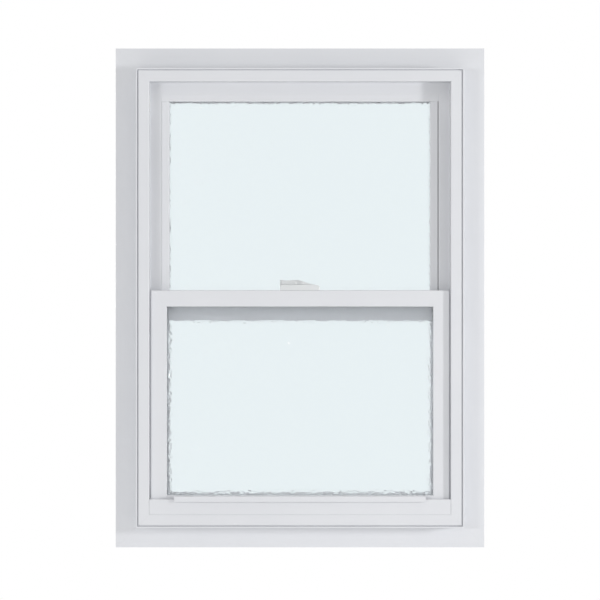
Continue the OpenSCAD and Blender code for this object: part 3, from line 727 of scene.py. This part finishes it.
ARM_R = 6.0 * MM
NECK_FLARE = 9.0 * MM
NECK_LENGTH = 1.75
SHAFT_R = 4.0 * MM
SHAFT_SIDES = 40
SHAFT_CHAMFER = 0.4 * MM
LEVER_STATIONS = 110
LEVER_EDGE_R = 2.4 * MM
LEVER_GAP = 0.1 * MM
UNDERCUT = 0.9 * MM
FALL = 9.4 * MM
FALL_START, FALL_END = -6 * MM, 30 * MM
DISH = 1.1 * MM
DISH_MIDDLE, DISH_WIDTH = -29 * MM, 8 * MM


def lever(name, node_name):
    """A cast lever: a dished finger arm that widens into a hub, which falls to the right."""
    low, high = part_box(node_name)
    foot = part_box("lock_base")[1].z + LEVER_GAP
    hub_r = (high.y - low.y) / 2
    pivot = Vector((high.x - hub_r, (low.y + high.y) / 2, 0))
    # Stations along the lever, closest together at its two round ends.
    spread = 0.5 - 0.5 * np.cos(np.pi * np.linspace(0, 1, LEVER_STATIONS))
    x = low.x + 0.03 * MM + 0.999 * (high.x - low.x) * spread
    arm = np.sqrt(np.clip(ARM_R ** 2 - np.clip(low.x + ARM_R - x, 0, ARM_R) ** 2, 0, None))
    hub = np.sqrt(np.clip(hub_r ** 2 - (x - pivot.x) ** 2, 0, None))
    flare = NECK_FLARE * smooth_step(x, pivot.x - NECK_LENGTH * hub_r, pivot.x)
    half = np.where(x < pivot.x, arm + flare, hub)
    top = high.z - FALL * smooth_step(x, FALL_START, FALL_END) ** 0.8
    top -= DISH * np.exp(-((x - DISH_MIDDLE) / DISH_WIDTH) ** 2)
    bend = np.linspace(0, np.pi / 2, 7)
    crown = np.linspace(0.75, 0, 5)
    # Each row runs from one side of the sole over the crest to the other side.
    rows = []
    for station, width, crest in zip(x, half, top):
        radius = min(LEVER_EDGE_R, 0.8 * width, 0.7 * (crest - foot))
        sole = width - UNDERCUT if width > 2 * MM else 0.5 * width
        side_y = np.concatenate([[sole, width], width - radius + radius * np.cos(bend),
                                 crown * (width - radius)])
        side_z = np.concatenate([[foot, foot + min(UNDERCUT, 0.3 * (crest - foot))],
                                 crest - radius + radius * np.sin(bend),
                                 np.full(len(crown), crest)])
        y = np.concatenate([side_y, -side_y[-2::-1]])
        z = np.concatenate([side_z, side_z[-2::-1]])
        rows.append(np.stack([np.full(len(y), station), pivot.y + y, z], axis=-1))
    turn = np.linspace(0, 2 * np.pi, SHAFT_SIDES, endpoint=False)
    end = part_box("lock_cam")[0].z
    levels = [(foot + MM, SHAFT_R), (end + SHAFT_CHAMFER, SHAFT_R),
              (end, SHAFT_R - SHAFT_CHAMFER)]
    shaft = np.stack([np.stack([pivot.x + r * np.cos(turn), pivot.y + r * np.sin(turn),
                                np.full(len(turn), z)], axis=-1) for z, r in levels])
    mesh = mesh_from(name, *joined([ring_solid(np.stack(rows)), ring_solid(shaft)]))
    turn_outwards(mesh)
    mesh.set_sharp_from_angle(angle=math.radians(40))
    stand_in(name, mesh, FINISH["lock_paint"], node_name)


# ---- studio -------------------------------------------------------------------------

CAMERA_DISTANCE = 4.0
VIEW_ANGLE = 19.42
VIEW_HEIGHT = 0.5202
AMBIENT = 0.5
FRONT = 0.12
THROUGH_GLASS = (0.88, 0.931, 0.945)
BEHIND_GLASS = (2.25, 2.16, 2.22)
FLOOR_RADIUS = 3.0
FLOOR_DEPTH = 0.95
# The emission at the middle, up to RIM_START from it, as a share of the rim's.
FLOOR_MIDDLE = 0.35
RIM_START = 0.8
# The emission that lights the window, as a share of what the camera sees.
FLOOR_GLOW = 0.3


def face_point(point, target):
    """The rotation that turns a light or camera at point towards target."""
    return (Vector(target) - Vector(point)).to_track_quat("-Z", "Y").to_euler()


def camera():
    data = bpy.data.cameras.new("camera")
    data.sensor_width = 36
    data.lens = data.sensor_width / 2 / math.tan(math.radians(VIEW_ANGLE / 2))
    lens = bpy.data.objects.new("camera", data)
    room_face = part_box("frame_head")[0].y
    lens.location = (0, room_face - CAMERA_DISTANCE, VIEW_HEIGHT)
    lens.rotation_euler = (math.radians(90), 0, 0)
    bpy.context.scene.collection.objects.link(lens)
    bpy.context.scene.camera = lens


def soft_box(name, place, size, power):
    """A soft box that faces the window's upright middle line at the box's own height."""
    data = bpy.data.lights.new(name, "AREA")
    data.shape = "RECTANGLE"
    data.size, data.size_y = size
    data.energy = power
    lamp = bpy.data.objects.new(name, data)
    lamp.location = place
    lamp.rotation_euler = face_point(place, (0, 0, place[2]))
    bpy.context.scene.collection.objects.link(lamp)


def surroundings():
    """Even light, a little stronger from the room side, and white where the camera sees it.

    Through glass the camera sees THROUGH_GLASS. Surfaces lit through glass get BEHIND_GLASS.
    """
    world = bpy.data.worlds.new("studio")
    world.use_nodes = True
    tree = world.node_tree
    background = tree.nodes["Background"]
    direction = tree.nodes.new("ShaderNodeTexCoord")
    parts = tree.nodes.new("ShaderNodeSeparateXYZ")
    tree.links.new(direction.outputs["Generated"], parts.inputs["Vector"])
    # Directions towards the room side have a negative Y.
    front = tree.nodes.new("ShaderNodeMapRange")
    front.interpolation_type = "SMOOTHSTEP"
    for key, value in (("From Min", -0.3), ("From Max", -0.95), ("To Min", AMBIENT),
                       ("To Max", AMBIENT + FRONT)):
        front.inputs[key].default_value = value
    tree.links.new(parts.outputs["Y"], front.inputs["Value"])
    path = tree.nodes.new("ShaderNodeLightPath")
    # 1 for a ray that has met no diffuse surface yet.
    straight = tree.nodes.new("ShaderNodeMath")
    straight.operation = "LESS_THAN"
    straight.inputs[1].default_value = 0.5
    tree.links.new(path.outputs["Diffuse Depth"], straight.inputs[0])

    def choose(factor, first, second):
        """first where factor is 0 and second where it is 1. Each is an output or a colour."""
        mix = tree.nodes.new("ShaderNodeMixRGB")
        tree.links.new(factor, mix.inputs["Fac"])
        for socket, shade in zip(("Color1", "Color2"), (first, second)):
            if isinstance(shade, tuple):
                mix.inputs[socket].default_value = (*shade, 1)
            else:
                tree.links.new(shade, mix.inputs[socket])
        return mix.outputs["Color"]

    behind = choose(straight.outputs["Value"], BEHIND_GLASS, THROUGH_GLASS)
    light = choose(path.outputs["Is Transmission Ray"], front.outputs["Result"], behind)
    light = choose(path.outputs["Is Camera Ray"], light, (1, 1, 1))
    tree.links.new(light, background.inputs["Color"])
    bpy.context.scene.world = world


def floor():
    """A round pale floor below the window, which fades to white at its rim."""
    mesh = bpy.data.meshes.new("floor")
    shape = bmesh.new()
    bmesh.ops.create_circle(shape, cap_ends=True, radius=FLOOR_RADIUS, segments=96)
    shape.to_mesh(mesh)
    shape.free()
    disc = bpy.data.objects.new("floor", mesh)
    disc.location = (0, 0, cad_box[0].z - FLOOR_DEPTH)
    bpy.context.scene.collection.objects.link(disc)
    tree = Tree("floor_looks")
    tree.set(Base_Color=(0.82, 0.82, 0.82, 1), Roughness=0.8, Emission_Color=(1, 1, 1, 1))
    length = tree.add("ShaderNodeVectorMath", operation="LENGTH")
    tree.links.new(tree.place(), length.inputs[0])
    rim = tree.span(length.outputs["Value"], FLOOR_MIDDLE, 1.0, RIM_START, FLOOR_RADIUS)
    camera_ray = tree.add("ShaderNodeLightPath").outputs["Is Camera Ray"]
    seen = tree.span(camera_ray, FLOOR_GLOW, 1.0, 0, 1)
    glow = tree.add("ShaderNodeMath", operation="MULTIPLY")
    tree.links.new(rim, glow.inputs[0])
    tree.links.new(seen, glow.inputs[1])
    tree.links.new(glow.outputs["Value"], tree.shader.inputs["Emission Strength"])
    mesh.materials.append(tree.material)


# ---- the window ---------------------------------------------------------------------

finish_cad_nodes()
obscure_pane("upper_glass", "upper_pane_inner", seed=11)
obscure_pane("lower_glass", "lower_pane_inner", seed=23)
screws("rail_screws", "meeting_rail_screws")
screws("stop_screws", "travel_stop_screws")
screws("lock_base_screws", "lock_screws")
screws("keeper_plate_screws", "keeper_screws")
for side in ("left", "right"):
    spring(f"spring_{side}", f"balance_spring_{side}")
for seed, side in enumerate(("top", "bottom", "left", "right"), start=40):
    brush(f"brush_{side}", f"pile_{side}", seed)
bulb_seal("bulb_seal", "bottom_bulb")
lever("lever", "lock_lever")
rounded_base("lock_body", "lock_base")

camera()
surroundings()
floor()
soft_box("soft_box_left", (-3.05, -3.96, 0.68), size=(1.0, 0.5), power=38)
soft_box("soft_box_right", (3.86, -1.92, 0.68), size=(0.36, 0.5), power=72)
soft_box("soft_box_back", (-2.6, 2.9, 1.1), size=(1.4, 1.4), power=62)

view = bpy.context.scene.view_settings
view.view_transform = "Standard"
view.look = "None"
